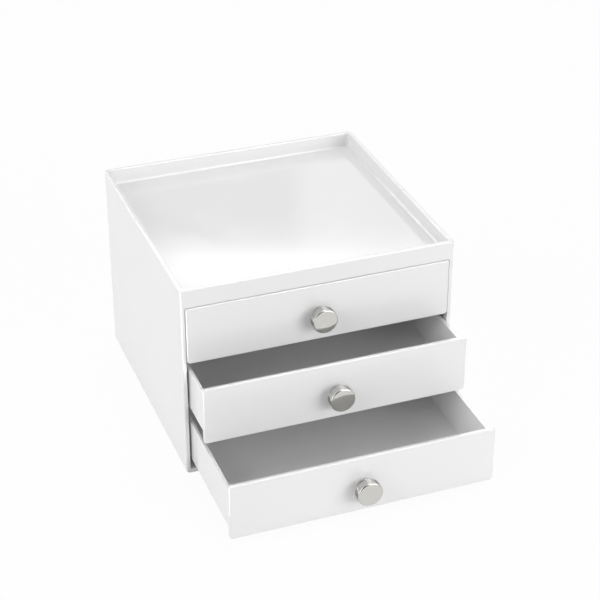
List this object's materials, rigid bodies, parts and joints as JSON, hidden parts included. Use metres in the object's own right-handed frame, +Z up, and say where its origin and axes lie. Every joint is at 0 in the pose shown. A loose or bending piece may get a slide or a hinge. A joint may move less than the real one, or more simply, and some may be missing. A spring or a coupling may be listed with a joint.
{
  "type": "cosmetics organizer with drawers",
  "caption": "White moulded desktop box with a rimmed tray top and sliding drawers, each pulled by a round chrome knob.",
  "frame": {"origin": "centre of the flat underside of the case, on the surface that it stands on", "axes": "+X to the right seen from the front, +Y to the back, +Z up; the drawers pull out along -Y"},
  "size_m": [0.165, 0.2401, 0.123],
  "materials": {
    "white_moulding": "glossy white injection-moulded polystyrene",
    "chrome_knob": "polished chrome plate",
    "brass_insert": "turned brass",
    "zinc_steel": "bright zinc-plated steel"
  },
  "bodies": {
    "case": {"case_shell": "white_moulding"},
    "sliding_drawer_bottom": {"drawer_bottom": "white_moulding", "knob_bottom": "chrome_knob", "knob_insert_bottom": "brass_insert", "knob_washer_bottom": "zinc_steel", "knob_screw_bottom": "zinc_steel"},
    "sliding_drawer_middle": {"drawer_middle": "white_moulding", "knob_middle": "chrome_knob", "knob_insert_middle": "brass_insert", "knob_washer_middle": "zinc_steel", "knob_screw_middle": "zinc_steel"},
    "sliding_drawer_top": {"drawer_top": "white_moulding", "knob_top": "chrome_knob", "knob_insert_top": "brass_insert", "knob_washer_top": "zinc_steel", "knob_screw_top": "zinc_steel"}
  },
  "joints": [
    {"name": "slide_bottom", "type": "slide", "parent": "case", "child": "sliding_drawer_bottom", "axis": [0, -1, 0], "range_m": [-0.0703, 0.0497]},
    {"name": "slide_middle", "type": "slide", "parent": "case", "child": "sliding_drawer_middle", "axis": [0, -1, 0], "range_m": [-0.028, 0.092]},
    {"name": "slide_top", "type": "slide", "parent": "case", "child": "sliding_drawer_top", "axis": [0, -1, 0], "range_m": [0, 0.12]}
  ]
}
